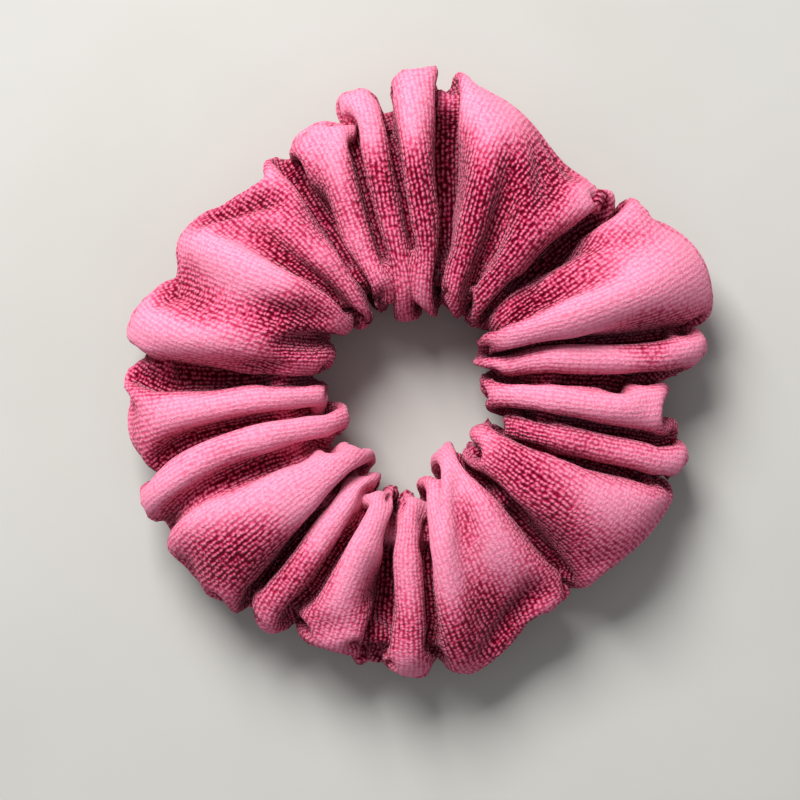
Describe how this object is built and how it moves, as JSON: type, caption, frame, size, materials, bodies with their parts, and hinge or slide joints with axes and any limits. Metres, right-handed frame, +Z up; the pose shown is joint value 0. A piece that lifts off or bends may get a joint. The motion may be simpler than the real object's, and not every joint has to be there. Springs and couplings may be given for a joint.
{
  "type": "scrunchie",
  "caption": "Soft gathered hair tie: a velour tube bunched up on a loop of flat elastic, with a round hole that stretches open for the hair.",
  "frame": {"origin": "middle of the ring's outline, on the surface it lies on", "axes": "+Z up out of the ring, +X along the direction it is pulled open, +Y towards its largest gather"},
  "size_m": [0.1114, 0.1148, 0.028],
  "materials": {
    "velour_cover": "short brushed pile",
    "elastic": "braided, matt",
    "elastic_thread": "matt",
    "seam_thread": "slightly glossy"
  },
  "bodies": {
    "left_side": {"cover_left": "velour_cover", "elastic": "elastic", "elastic_join_thread": "elastic_thread", "lengthwise_seam_thread": "seam_thread"},
    "right_side": {"cover_right": "velour_cover", "end_join_thread": "seam_thread"}
  },
  "joints": [
    {"name": "stretch", "type": "slide", "parent": "left_side", "child": "right_side", "axis": [1, 0, 0], "range_m": [0, 0.09], "stiffness_N_per_m": 45, "deforming": ["elastic", "lengthwise_seam_thread"]}
  ]
}
